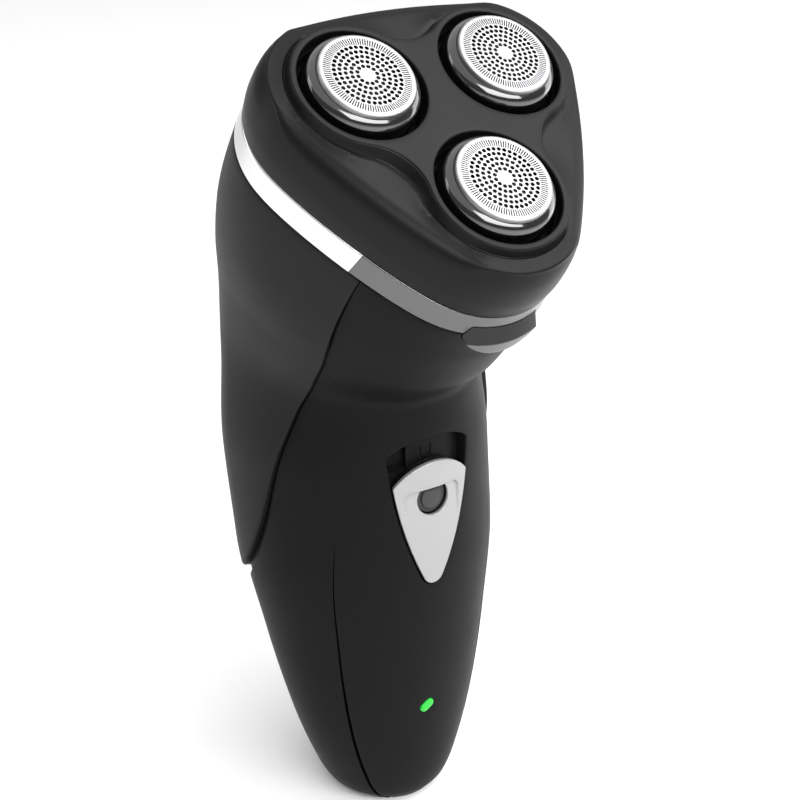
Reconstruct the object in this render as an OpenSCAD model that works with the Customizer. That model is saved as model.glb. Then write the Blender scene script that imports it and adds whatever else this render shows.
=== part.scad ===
// Rotary electric shaver with three sprung shaving heads on a tilted head unit.
// Origin: on the small flat base. +Z runs up the handle, -Y is the front, +X is the right side.

/* [Head] */
// Tilt of the head plane about X, measured from level
head_tilt = 37.6; // [30:0.1:45]
// Height of the head plane's centre above the base
head_z = 152; // [150:0.5:156]
// Distance from the head axis to each shaving head's axis
head_pitch = 16.16; // [16:0.02:16.6]
// Radius of a steel guard
guard_r = 8.6; // [8.2:0.1:8.8]
// Radius of the opening that a shaving head floats in
pocket_r = 11.4; // [11:0.1:11.6]
// Spring travel of a shaving head
float_travel = 1; // [0.6:0.1:1.2]

/* [Handle] */
// Wall of the two case halves
wall = 2; // [1.6:0.1:2.2]
// How far the rear grip stands off the case
grip_proud = 1; // [0.6:0.1:1.2]
// Height of the trim band under the head unit
band_h = 4; // [3.6:0.1:4]

/* [Switch] */
// Travel of the power slider from off to on
slider_travel = 5; // [3:0.5:5]
// Travel of the release button
release_travel = 1.2; // [0.8:0.1:1.4]
// Travel of the round lock button in the slider
lock_travel = 0.8; // [0.5:0.1:1]

/* [Drive] */
// Teeth of the motor pinion, a multiple of three so that all three gears mesh
pinion_teeth = 12; // [12:3:12]
// Teeth of each drive gear
gear_teeth = 26; // [26:2:26]
// Radius of the motor can
motor_r = 11.8; // [10:0.1:12]
// Radius of one battery cell
cell_r = 7.2; // [6.5:0.1:7.25]
// Length of one battery cell
cell_l = 49; // [44:0.5:50]

/* [Charging inlet] */
// Radius of an inlet pin
pin_r = 1; // [0.8:0.05:1.1]
// Distance between the two inlet pins
pin_gap = 5.2; // [4.8:0.1:5.4]

/* [Hidden] */
$fn = 48;
fit = 0.05;
head_y = -22;
around = 44;
sub_rings = 3;

// Levels along the head axis, with zero at the steel guards' faces
plateau_n = -2.3;
rim_n = -3.6;
head_foot_n = -15.9;
band_top_n = -16;
band_n = band_top_n - band_h;
floor_top_n = -19.5;
floor_t = 2;
gear_top_n = -23;
gear_t = 2.5;
mount_top_n = -26.5;
mount_t = 2;
motor_l = 28;
spindle_top_n = -5.9;
frame_top_n = -8.4;
frame_t = 1.8;

// The three shaving heads: front, left, right
HEADS = [-90, 150, 30];

// Case outline: [front y, front z, back y, back z, half width, waist, share of the head's outline]
STATIONS = [
    [-9.6, 0, 11.8, 0, 10.2, 0.5, 0],
    [-11.3, 2.5, 13.8, 2.5, 13.2, 0.5, 0],
    [-12.6, 9, 16.4, 9, 16.3, 0.5, 0],
    [-13.8, 22, 19, 22, 20.4, 0.52, 0],
    [-15, 40, 23, 40, 24, 0.56, 0],
    [-15.6, 60, 28.2, 60, 26.6, 0.58, 0],
    [-15.2, 78, 31.3, 80, 26.6, 0.62, 0],
    [-14.4, 93, 32.5, 100, 25, 0.64, 0],
    [-22.6, 100.5, 31.6, 118, 26, 0.6, 0.1],
    [-30.6, 109, 24, 136, 28.2, 0.56, 0.6],
    [-36.1, 115.9, 11.3, 152.4, 31.1, 0.555, 1]];
SPANS = len(STATIONS) - 1;

// Head unit outline: [level, corner radius, reach of the lobes]
LOBE_BASE = [band_n, 17.8, 15.4];
LOBES = [
    [head_foot_n, 16.4, 16.7],
    [-12, 16.2, 17.3],
    [-8, 15.8, 17.5],
    [-5, 15.4, 17.2],
    [rim_n, 15.1, 16.9]];

// Parting line of the two case halves, as seen from the side: [y, z]
PARTING = [[-8.3, -2], [-8.6, 60], [-8.7, 80], [-8.9, 94], [-10.2, 104], [-14.7, 111.4],
    [-18.5, 117.5], [-26, 128]];
// Edge of the rear grip, as seen from the side: [y, z]
GRIP_EDGE = [[60, 50.5], [20, 50.5], [13, 53.5], [8.4, 59], [5, 67], [2.6, 77], [0.4, 86],
    [-2, 94], [-6, 99.8], [-9.8, 104.4], [-14.3, 111.6], [-18.1, 117.7], [-26, 129]];

// ---- Colours
BLACK = [0.09, 0.09, 0.1];
GREY = [0.24, 0.25, 0.26];
SILVER = [0.8, 0.81, 0.83];
STEEL = [0.72, 0.73, 0.75];
BRASS = [0.75, 0.6, 0.3];
NYLON = [0.9, 0.89, 0.84];

// ---- Smooth curve through the stations
function mid(s) = [(s[0] + s[2]) / 2, (s[1] + s[3]) / 2];
function gap(i) = norm(mid(STATIONS[i + 1]) - mid(STATIONS[i]));
function rise(i, c) = (STATIONS[i + 1][c] - STATIONS[i][c]) / gap(i);
// Slope at a station that never overshoots its neighbours
function slope(i, c) =
    i == 0 ? rise(0, c) :
    i == SPANS ? rise(SPANS - 1, c) :
    rise(i - 1, c) * rise(i, c) <= 0 ? 0 :
    let (a = 2 * gap(i) + gap(i - 1), b = gap(i) + 2 * gap(i - 1))
    (a + b) / (a / rise(i - 1, c) + b / rise(i, c));
function blend(i, f, c) =
    let (g = gap(i), f2 = f * f, f3 = f2 * f)
    (2 * f3 - 3 * f2 + 1) * STATIONS[i][c] + (f3 - 2 * f2 + f) * g * slope(i, c)
    + (3 * f2 - 2 * f3) * STATIONS[i + 1][c] + (f3 - f2) * g * slope(i + 1, c);
// The station at t, where t counts stations from 0 to SPANS
function station(t) =
    let (i = min(floor(t), SPANS - 1))
    [for (c = [0:6]) blend(i, t - i, c)];

// ---- Outlines, each given by how far it reaches in the direction a
function lobe_sum(a, p) = [for (h = HEADS) pow(max(0, cos(a - h)), p)] * [1, 1, 1];
function lobe_turn(a) =
    [for (h = HEADS) -pow(max(0, cos(a - h)), 4) * sin(a - h)] * [1, 1, 1];
function lobe_reach(a) = pow(lobe_sum(a, 5), 0.2);
function lobe_reach_rate(a) = pow(lobe_sum(a, 5), -0.8) * lobe_turn(a);
function outline_point(a, reach, rate) =
    [reach * cos(a) - rate * sin(a), reach * sin(a) + rate * cos(a)];
function lobe_outline(rc, rt, steps) =
    [for (k = [0:steps - 1]) let (a = 360 * k / steps)
        outline_point(a, rc + rt * lobe_reach(a), rt * lobe_reach_rate(a))];
function oval_reach(a, w, b) = norm([w * cos(a), b * sin(a)]);
// One ring of the case, moved inwards by inset
function case_ring(t, inset, steps) =
    let (s = station(t), front = [s[0], s[1]], back = [s[2], s[3]], d = norm(back - front),
        u = (back - front) / d, c = front + u * s[5] * d, share = s[6])
    [for (k = [0:steps - 1])
        let (a = 360 * k / steps, b = (a > 180 ? s[5] : 1 - s[5]) * d,
            oval = oval_reach(a, s[4], b),
            reach = (1 - share) * oval + share * (LOBE_BASE[1] + LOBE_BASE[2] * lobe_reach(a)),
            rate = (1 - share) * (b * b - s[4] * s[4]) * sin(a) * cos(a) / oval
                + share * LOBE_BASE[2] * lobe_reach_rate(a),
            p = outline_point(a, reach - inset, rate))
        [p[0], c[0] + u[0] * p[1], c[1] + u[1] * p[1]]];
function along_head(n) = n * [0, -sin(head_tilt), cos(head_tilt)];
function raised(ring, n) = [for (p = ring) p + along_head(n)];

// ---- Solids from rings
// A closed solid through a list of rings, each listed the same way round
module loft(rings) {
    n = len(rings[0]);
    m = len(rings);
    sides = [for (j = [0:m - 2], k = [0:n - 1]) let (e = (k + 1) % n)
        [j * n + k, (j + 1) * n + k, (j + 1) * n + e, j * n + e]];
    ends = [[for (k = [0:n - 1]) k], [for (k = [n - 1:-1:0]) (m - 1) * n + k]];
    polyhedron([for (r = rings) each r], concat(sides, ends), convexity = 8);
}
// A free-form shell is one closed mesh
module one_mesh() {
    resize([0, 0, 0]) children();
}
// The case from the base up, with its skin moved inwards by inset
module case_body(inset, first = 0, steps = around, sub = sub_rings, over = 0) {
    rings = [for (i = [first * sub:SPANS * sub]) case_ring(i / sub, inset, steps)];
    loft(over == 0 ? rings : concat(rings, [raised(rings[len(rings) - 1], over)]));
}
module case_cavity() {
    case_body(wall, 1, 28, 1, 3);
}
module lobe_slab(n, h, rc, rt, steps = 60) {
    translate([0, 0, n]) linear_extrude(h) polygon(lobe_outline(rc, rt, steps));
}
// Moves a child from the head frame to the row frame
module in_head() {
    translate([0, head_y, head_z]) rotate([head_tilt, 0, 0]) children();
}
module at_head(a) {
    in_head() rotate(a) translate([head_pitch, 0, 0]) children();
}
module tube(r, hole, h) {
    difference() {
        cylinder(r = r, h = h);
        translate([0, 0, -1]) cylinder(r = hole, h = h + 2);
    }
}
// A slab across the whole width from a profile of [y, z] points
module side_cut(points, half = 60) {
    rotate([90, 0, 90]) translate([0, 0, -half]) linear_extrude(2 * half) polygon(points);
}
// The part of the case in front of the parting line
module front_side(gap = 0) {
    side_cut([for (p = concat(PARTING, [[-90, 128], [-90, -2]])) p - [gap, 0]]);
}
module rear_region(gap = 0) {
    side_cut([for (p = concat(GRIP_EDGE, [[60, 175]])) p + [gap, 0]]);
}

// ---- Power switch outlines, seen from the front
slider_top_z = 81.7;
slider_corner = [8.2, 77.6];
slider_tip_r = 2.2;
slider_tip_z = 55.5 + slider_tip_r;
slider_bend = [6.70, 66.55];
slider_flank_foot = [1.98, 56.75];
function flank(f) = (1 - f) * (1 - f) * slider_flank_foot + 2 * f * (1 - f) * slider_bend
    + f * f * slider_corner;
// Slider outline: pointed round tip, curved flanks and an arched top
module slider_outline(grow = 0, travel = 0) {
    arch = [for (a = [30:10:150])
        [9.5 * cos(a), slider_corner[1] - 4.1 + 8.2 * sin(a) + travel]];
    offset(delta = grow) union() {
        hull() {
            translate([0, slider_tip_z]) circle(r = slider_tip_r);
            translate([0, slider_corner[1]]) square([2 * slider_corner[0], 0.2], center = true);
            polygon(arch);
            for (side = [-1, 1]) polygon(concat([[0, slider_corner[1]]],
                [for (f = [0.2:0.2:0.8]) [side * flank(f)[0], flank(f)[1]]]));
        }
        if (travel > 0)
            polygon(concat(arch, [[-slider_corner[0], slider_corner[1] - 1],
                [slider_corner[0], slider_corner[1] - 1]]));
    }
}
// Extrudes an outline seen from the front through the front wall
module front_cut(depth = 12) {
    translate([0, -8, 0]) rotate([90, 0, 0]) linear_extrude(depth) children();
}
lock_z = 74.1;
lock_hole_r = 3.6;
lock_flat = 1.7;
module lock_outline(grow = 0) {
    intersection() {
        translate([0, lock_z]) circle(r = lock_hole_r + grow);
        translate([-5, lock_z - 5]) square([10, 5 + lock_flat + grow]);
    }
}
led_z = 25.2;
module led_body(grow = 0, depth = 6) {
    translate([0, -10, led_z]) rotate([90, 0, 0]) rotate(35) linear_extrude(depth) hull() {
        translate([0.6, 0]) circle(r = 1.1 + grow, $fn = 20);
        translate([-0.6, 0]) circle(r = 1.1 + grow, $fn = 20);
    }
}

// ---- Release button window, in the head frame
release_w = 14.6;
release_depth_n = 5;
module release_window(grow = 0) {
    translate([-release_w / 2 - grow, -45, band_n - release_depth_n - grow])
        cube([release_w + 2 * grow, 17, release_depth_n + 1 + grow]);
}

// ---- Case screws: [x, z]
SCREWS = [[0, 18], [-13, 90], [13, 90]];
boss_y = 2.5;
module at_screws() {
    for (s = SCREWS) translate([s[0], boss_y, s[1]]) rotate([90, 0, 0]) children();
}

inlet_y = 5;
inlet_w = 4.6;
inlet_r = 2.8;
inlet_depth = 12;
pin_foot_r = pin_r + 0.3;
module inlet_outline(grow = 0) {
    hull() for (x = [-1, 1] * inlet_w / 2) translate([x, inlet_y]) circle(r = inlet_r + grow);
}

// ---- Case
module front_shell() {
    color(BLACK) one_mesh() {
        difference() {
            intersection() {
                case_body(0);
                front_side();
            }
            difference() {
                case_cavity();
                intersection() {
                    at_screws() translate([0, 0, 0.1]) cylinder(r = 2.8, h = 40, $fn = 24);
                    case_body(0.5);
                }
            }
            at_screws() translate([0, 0, -1]) cylinder(r = 1.15, h = 11, $fn = 24);
            intersection() {
                front_cut() slider_outline(0.3, slider_travel + 0.3);
                translate([0, 0, 100]) cube([60, 60, 200], center = true);
            }
            led_body(0.05, 12);
            in_head() release_window(0.15);
        }
    }
}
module rear_shell() {
    color(BLACK) one_mesh() {
        difference() {
            case_body(0);
            front_side(-fit);
            difference() {
                case_cavity();
                intersection() {
                    at_screws() mirror([0, 0, 1]) cylinder(r = 3.8, h = 60, $fn = 24);
                    case_body(0.5);
                }
            }
            at_screws() translate([0, 0, -2]) mirror([0, 0, 1]) cylinder(r = 2.6, h = 60, $fn = 24);
            at_screws() translate([0, 0, 1]) mirror([0, 0, 1]) cylinder(r = 1.15, h = 20, $fn = 24);
            intersection() {
                difference() {
                    case_body(-3);
                    case_body(0.6);
                }
                rear_region(-fit);
            }
            translate([0, 0, -1]) linear_extrude(inlet_depth + 3) inlet_outline(1.4);
            in_head() release_window(0.15);
        }
    }
}
module rear_grip() {
    // The grip runs out into the case skin below the trim band
    fade = [for (i = [4 * sub_rings:SPANS * sub_rings]) let (t = i / sub_rings)
        case_ring(t, -grip_proud * min(1, (SPANS - t) / 1.5) - (t == SPANS ? 0 : 0.001), around)];
    color(GREY) one_mesh() {
        intersection() {
            difference() {
                loft(fade);
                case_body(0.55);
            }
            rear_region();
        }
    }
}

// ---- Trim band between the case and the head unit
module band_ring() {
    difference() {
        lobe_slab(band_n + fit, band_h - 2 * fit, 17.2, 15.8);
        lobe_slab(band_n - 1, band_h + 2, 14.9, 15.8);
    }
}
// The side of the joint that the front part of the band is on
band_joint_y = -15.6;
module band_front_side(shift = 0) {
    translate([-50, band_joint_y - 60 + shift, band_n - 10]) cube([100, 60, 20]);
}
hinge_at = [0, 26.8, -15.6];
hinge_r = 1.6;
hinge_pin_r = 0.8;
lug_half = 3;
hinge_half = 8;
module hinge_barrel(r, x0, x1) {
    translate([x0, hinge_at[1], hinge_at[2]]) rotate([0, 90, 0]) cylinder(r = r, h = x1 - x0);
}
module trim_band_rear() {
    color(SILVER) in_head() difference() {
        union() {
            difference() {
                band_ring();
                band_front_side();
                hinge_barrel(hinge_r + 0.3, -hinge_half - 0.3, hinge_half + 0.3);
            }
            difference() {
                union() {
                    hinge_barrel(hinge_r, -lug_half, lug_half);
                    translate([-lug_half, 25.4, band_n + fit])
                        cube([2 * lug_half, 2.4, hinge_at[2] - band_n - fit]);
                }
                lobe_slab(-16.4, 3, 14.9, 15.8);
            }
        }
        hinge_barrel(hinge_pin_r, -20, 20);
    }
}
module trim_band_front() {
    color([0.5, 0.51, 0.53]) in_head() intersection() {
        band_ring();
        band_front_side(-fit);
    }
}

// ---- Hair chamber floor, drive train and motor
deck_r = 19.5;
module at_deck_screws() {
    for (a = [90, 210, 330]) in_head() rotate(a) translate([deck_r, 0, 0]) children();
}
module chamber_floor() {
    color(BLACK) difference() {
        union() {
            in_head() lobe_slab(floor_top_n - floor_t, floor_t, 15.1, 15.4);
            for (a = HEADS) at_head(a) translate([0, 0, floor_top_n - 0.5]) cylinder(r = 3.6, h = 2.5);
            at_deck_screws() translate([0, 0, mount_top_n]) cylinder(r = 2.4, h = 5.5);
        }
        for (a = HEADS) at_head(a) translate([0, 0, -30]) cylinder(r = 2.3, h = 20);
        at_deck_screws() {
            translate([0, 0, floor_top_n - 1.2]) cylinder(r = 2.1, h = 3);
            translate([0, 0, mount_top_n - 1]) cylinder(r = 1.1, h = 9);
        }
        in_head() translate([-8, -45, floor_top_n - 4]) cube([16, 17.4, 6]);
    }
}
module motor_mount() {
    color(GREY) difference() {
        union() {
            in_head() lobe_slab(mount_top_n - mount_t, mount_t, 14, 14);
            for (a = HEADS) at_head(a) translate([0, 0, mount_top_n - 3.4]) cylinder(r = 2.6, h = 3.6);
            in_head() translate([0, 0, mount_top_n - 4]) tube(motor_r + 1.4, motor_r + fit, 3);
        }
        for (a = HEADS) at_head(a) translate([0, 0, mount_top_n - 3]) cylinder(r = 1.05, h = 5);
        in_head() translate([0, 0, mount_top_n - 5]) cylinder(r = 3.4, h = 8);
        at_deck_screws() translate([0, 0, mount_top_n - 5]) cylinder(r = 0.9, h = 8);
    }
}
module motor_can() {
    top = mount_top_n - mount_t;
    color(STEEL) in_head() difference() {
        union() {
            translate([0, 0, top - motor_l]) cylinder(r = motor_r, h = motor_l);
            translate([0, 0, top - 0.5]) cylinder(r = 3.3, h = 1.7);
            translate([0, 0, top - motor_l - 1.4]) cylinder(r = 3, h = 2);
        }
        translate([0, 0, top - motor_l + 1.2]) cylinder(r = motor_r - 1, h = motor_l - 2.4);
        translate([0, 0, top - motor_l - 0.8]) cylinder(r = 1.05, h = motor_l + 10);
    }
}
module motor_rotor() {
    foot = mount_top_n - mount_t - motor_l - 0.6;
    color(BRASS) in_head() {
        translate([0, 0, foot]) cylinder(r = 1, h = gear_top_n - foot + 0.6);
        translate([0, 0, foot + 5]) cylinder(r = 8.4, h = motor_l - 9);
    }
}

// Involute gear outline, phased so that a tooth points along +X when gap_first is 0
gear_module = 2 * head_pitch / (pinion_teeth + gear_teeth);
pressure = 20;
backlash = 0.1;
function inv(a) = tan(a) * 180 / PI - a;
function tooth_half(r, z) =
    let (rp = gear_module * z / 2, rb = rp * cos(pressure), a = acos(min(1, rb / max(r, rb))))
    90 / z * (1 - backlash) + inv(pressure) - inv(a);
function gear_radii(z) =
    let (rp = gear_module * z / 2)
    [rp - 1.1 * gear_module, rp - 0.35 * gear_module, rp, rp + 0.4 * gear_module, rp + 0.8 * gear_module];
function polar(r, a) = [r * cos(a), r * sin(a)];
module gear(z, h) {
    radii = gear_radii(z);
    linear_extrude(h) polygon([for (i = [0:z - 1]) each concat(
        [for (r = radii) polar(r, 360 * i / z - tooth_half(r, z))],
        [for (j = [4:-1:0]) polar(radii[j], 360 * i / z + tooth_half(radii[j], z))])]);
}
module pinion() {
    color(BRASS) in_head() translate([0, 0, gear_top_n - gear_t]) difference() {
        gear(pinion_teeth, gear_t);
        translate([0, 0, -1]) cylinder(r = 1, h = gear_t + 2);
    }
}
// The heads sit on tooth centres of the pinion, so each gear turns a gap towards it
module drive_gear(a) {
    color(NYLON) at_head(a) {
        translate([0, 0, gear_top_n - gear_t]) difference() {
            rotate(180 + 180 / gear_teeth) gear(gear_teeth, gear_t);
            translate([0, 0, -1]) cylinder(r = 1.9, h = gear_t + 2);
        }
    }
}
module spindle(a) {
    color(NYLON) at_head(a) {
        translate([0, 0, mount_top_n - 2.9]) cylinder(r = 1, h = 4);
        translate([0, 0, gear_top_n - gear_t]) cylinder(r = 1.9, h = spindle_top_n - gear_top_n + gear_t);
        translate([0, 0, spindle_top_n - 0.2]) cylinder(r = 1.5, h = 2.7, $fn = 6);
    }
}

// ---- Power supply and switch
cell_y = 6.6;
cell_z = 25;
module at_cells() {
    for (x = [-1, 1] * (cell_r + 0.2)) translate([x, cell_y, cell_z]) children();
}
module battery_cells() {
    color([0.2, 0.45, 0.3]) at_cells() {
        cylinder(r = cell_r, h = cell_l - 1);
        translate([0, 0, cell_l - 1.2]) cylinder(r = 2.6, h = 1.2);
    }
}
module battery_cradle() {
    color(GREY) difference() {
        translate([-10.5, cell_y - 1, cell_z - 2.5]) cube([21, cell_r + 2, cell_l + 5]);
        at_cells() translate([0, 0, -0.6]) cylinder(r = cell_r + 0.1, h = cell_l + 1.2);
        translate([-9, cell_y - 4, cell_z + 4]) cube([18, 30, cell_l - 8]);
    }
}
module battery_contacts() {
    color(STEEL) for (x = [-1, 1] * (cell_r + 0.2)) {
        translate([x - 3, cell_y - 5, cell_z - 0.45]) cube([6, 8, 0.4]);
        translate([x - 3, cell_y - 5, cell_z + cell_l + 0.05]) cube([6, 8, 0.4]);
    }
}
board_y = -5.4;
module circuit_board() {
    color([0.1, 0.35, 0.2]) {
        translate([-9, board_y, 23]) cube([18, 1.4, 57]);
        translate([-1.5, board_y - 3.2, 29]) cube([3, 3.2, 5]);
        translate([3, board_y - 4, 40]) cube([5, 4, 8]);
        translate([-7, board_y - 2.4, 50]) cube([6, 2.4, 4]);
    }
}
module slide_switch() {
    color(STEEL) difference() {
        translate([-4, board_y - 3.2, 63]) cube([8, 3.2, 16]);
        translate([-1.4, board_y - 4, 65.6]) cube([2.8, 3, 8.9 + slider_travel - 5]);
    }
}
module switch_knob() {
    color(BLACK) translate([-1.2, board_y - 5.8, 66]) cube([2.4, 4.7, 3]);
}
module switch_seat() {
    color(BLACK) one_mesh() difference() {
        intersection() {
            front_cut() offset(delta = 1.6) slider_outline(0, slider_travel);
            difference() {
                case_body(wall + 0.05, 1, 28, 1, 3);
                case_body(wall + 1.2);
            }
        }
        translate([-1.8, -20, 65.4]) cube([3.6, 20, 4.2 + slider_travel]);
    }
}
module led_lens() {
    color([0.3, 0.9, 0.35]) one_mesh() intersection() {
        led_body(0, 12);
        case_body(-0.25);
        translate([-5, -30, 20]) cube([10, 19, 10]);
    }
}
module inlet_socket() {
    color(BLACK) difference() {
        translate([0, 0, 0.2]) linear_extrude(inlet_depth + 1.5) inlet_outline(1.3);
        translate([0, 0, -1]) linear_extrude(inlet_depth + 1) inlet_outline();
        for (x = [-1, 1] * pin_gap / 2)
            translate([x, inlet_y, 0]) cylinder(r = pin_foot_r, h = 20);
    }
}
module inlet_pins() {
    color(STEEL) for (x = [-1, 1] * pin_gap / 2) translate([x, inlet_y, 0]) {
        translate([0, 0, 5.5]) cylinder(r = pin_r, h = inlet_depth - 5.6);
        translate([0, 0, inlet_depth - 0.1]) cylinder(r = pin_foot_r, h = 1.9);
    }
}
module case_screws() {
    color(STEEL) at_screws() {
        translate([0, 0, -2.1]) cylinder(r = 1.1, h = 11.2);
        translate([0, 0, -3.6]) cylinder(r = 2.2, h = 1.6);
    }
}
module deck_screws() {
    color(STEEL) at_deck_screws() {
        translate([0, 0, floor_top_n - 1.2]) cylinder(r = 1.9, h = 1.1);
        translate([0, 0, mount_top_n - 1.8]) cylinder(r = 0.85, h = 8);
    }
}
module hinge_pin() {
    color(STEEL) in_head() hinge_barrel(hinge_pin_r, -hinge_half, hinge_half);
}

// ---- Head unit
module head_outer() {
    loft([for (l = LOBES) [for (p = lobe_outline(l[1], l[2], 54)) [p[0], p[1], l[0]]]]);
}
module plateau() {
    translate([0, 0, rim_n - 0.1]) linear_extrude(plateau_n - rim_n + 0.1) offset(r = -2, $fn = 24) union() {
        for (a = HEADS) rotate(a) translate([head_pitch, 0]) circle(r = 15.3, $fn = 40);
        for (a = HEADS) rotate(a) translate([0, -7.5]) square([head_pitch, 15]);
    }
}
module head_frame() {
    color(GREY) one_mesh() in_head() {
        difference() {
            union() {
                head_outer();
                plateau();
            }
            lobe_slab(-20, 20 - 6, 14.4, 16.4, 40);
            for (a = HEADS) rotate(a) translate([head_pitch, 0, -10]) cylinder(r = pocket_r, h = 20);
            hinge_barrel(hinge_r + 0.3, -lug_half - 0.25, lug_half + 0.25);
        }
        // Catch that the release button holds
        translate([-3, -30.1, -18.2]) cube([6, 1.4, 12.6]);
        // Posts that carry the retaining frame
        for (a = [90, 210, 330]) rotate(a) translate([17.2, 0, frame_top_n]) cylinder(r = 1.8, h = 3, $fn = 20);
        translate([0, 0, frame_top_n]) cylinder(r = 3.2, h = 3.4, $fn = 24);
        difference() {
            for (x = [-hinge_half, lug_half + 0.25]) {
                hinge_barrel(hinge_r, x, x + hinge_half - lug_half - 0.25);
                translate([x, 24.6, hinge_at[2]]) cube([hinge_half - lug_half - 0.25, 2.2, 5]);
            }
            hinge_barrel(hinge_pin_r + fit, -20, 20);
            lobe_slab(-16, 10, 14.4, 16.4, 40);
        }
    }
}
module retaining_frame() {
    color(NYLON) in_head() translate([0, 0, frame_top_n - frame_t]) difference() {
        union() {
            for (a = HEADS) rotate(a) translate([head_pitch, 0, 0]) cylinder(r = 12.2, h = frame_t);
            cylinder(r = 9, h = frame_t);
            for (a = [90, 210, 330]) rotate(a) translate([0, -2, 0]) cube([19, 4, frame_t]);
        }
        for (a = HEADS) rotate(a) translate([head_pitch, 0, -1]) cylinder(r = 9.4, h = frame_t + 2);
        translate([0, 0, -1]) cylinder(r = 2.1, h = frame_t + 2);
    }
}
module lock_wheel() {
    color(BLACK) in_head() {
        translate([0, 0, frame_top_n - frame_t - 2.3]) {
            cylinder(r = 4.4, h = 2.2);
            for (a = [0:60:300]) rotate(a) translate([4.2, 0, 0]) cylinder(r = 0.8, h = 2.2);
            translate([-3.4, -0.6, -1.4]) cube([6.8, 1.2, 2]);
        }
        translate([0, 0, frame_top_n - frame_t - 0.2]) cylinder(r = 2, h = frame_t + 0.1);
    }
}

// ---- Shaving heads
guard_t = 0.45;
guard_foot_n = -4;
module guard(a) {
    color(STEEL) at_head(a) rotate_extrude() polygon([[0, 0], [guard_r - 0.4, 0], [guard_r, -0.4],
        [guard_r, guard_foot_n], [guard_r - 0.4, guard_foot_n], [guard_r - 0.4, -guard_t],
        [0, -guard_t]]);
}
module guard_ring(a) {
    color(BLACK) at_head(a) rotate_extrude() polygon([[guard_r, -1], [9.4, -1], [10.2, -1.9],
        [10.2, -6.3], [12.2, -6.3], [12.2, -7.2], [9.2, -7.2], [9.2, -4.6], [guard_r, -4.6]]);
}
cutter_top_n = -guard_t - 0.12;
module cutter(a) {
    blades = 15;
    color(STEEL) at_head(a) difference() {
        union() {
            translate([0, 0, -2.3]) cylinder(r = 7.7, h = 0.7);
            translate([0, 0, -4.6]) cylinder(r = 3.2, h = 2.5);
            for (i = [0:blades - 1]) rotate(360 * i / blades)
                translate([4.2, -0.25, -2]) cube([3.4, 0.5, cutter_top_n + 2]);
        }
        translate([0, 0, -5]) cylinder(r = 2.4, h = 3.1);
        for (i = [0:blades - 1]) rotate(360 * (i + 0.5) / blades)
            translate([6.6, 0, -3]) cylinder(r = 0.5, h = 2);
    }
}

// ---- Controls
module power_slider() {
    color(SILVER) one_mesh() {
        difference() {
            intersection() {
                front_cut() slider_outline();
                difference() {
                    case_body(-0.5);
                    case_body(wall - 0.35);
                }
            }
            front_cut() lock_outline(0.15);
            // Scoop for the thumb
            translate([0, -26.2, 71.4]) rotate([0, 90, 0]) cylinder(r = 11, h = 11, center = true, $fn = 64);
        }
        translate([-1, -14.6, 66.4]) cube([2, 3.4, 2.2]);
    }
}
module lock_button() {
    color(GREY) one_mesh() intersection() {
        front_cut() lock_outline();
        difference() {
            case_body(-0.1);
            case_body(wall - 0.75);
        }
    }
}
module release_button() {
    nose = [for (s = [[band_n - release_depth_n + 0.2, 0.1], [band_n - 1.6, 2], [band_n - 0.1, 0.2]])
        [for (p = lobe_outline(17.8 + s[1], 15.4, 54)) [p[0], p[1], s[0]]]];
    color([0.4, 0.41, 0.43]) one_mesh() in_head() intersection() {
        difference() {
            loft(nose);
            lobe_slab(-30, 20, 15.4, 15.4);
        }
        translate([-release_w / 2 + 0.1, -45, band_n - release_depth_n + 0.2])
            cube([release_w - 0.2, 20, release_depth_n - 0.3]);
    }
}

front_shell();
rear_shell();
rear_grip();
trim_band_rear();
trim_band_front();
chamber_floor();
motor_mount();
motor_can();
battery_cradle();
battery_cells();
battery_contacts();
circuit_board();
slide_switch();
switch_seat();
led_lens();
inlet_socket();
inlet_pins();
case_screws();
deck_screws();
hinge_pin();
motor_rotor();
pinion();
drive_gear(HEADS[0]);  // gear_front
drive_gear(HEADS[1]);  // gear_left
drive_gear(HEADS[2]);  // gear_right
spindle(HEADS[0]);  // spindle_front
spindle(HEADS[1]);  // spindle_left
spindle(HEADS[2]);  // spindle_right
head_frame();
retaining_frame();
lock_wheel();
guard(HEADS[0]);  // guard_front
guard(HEADS[1]);  // guard_left
guard(HEADS[2]);  // guard_right
guard_ring(HEADS[0]);  // guard_ring_front
guard_ring(HEADS[1]);  // guard_ring_left
guard_ring(HEADS[2]);  // guard_ring_right
cutter(HEADS[0]);  // cutter_front
cutter(HEADS[1]);  // cutter_left
cutter(HEADS[2]);  // cutter_right
power_slider();
switch_knob();
lock_button();
release_button();
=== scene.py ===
"""Looks of the rotary shaver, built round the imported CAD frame.

Lengths are in millimetres in the row frame until piece() writes them in metres. The head frame has its origin at the
centre of the head plane: X to the right, Y along the plane towards the rear, N out of it.
"""

import math

import bpy
import numpy as np
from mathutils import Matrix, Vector
from mathutils.geometry import delaunay_2d_cdt


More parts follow.
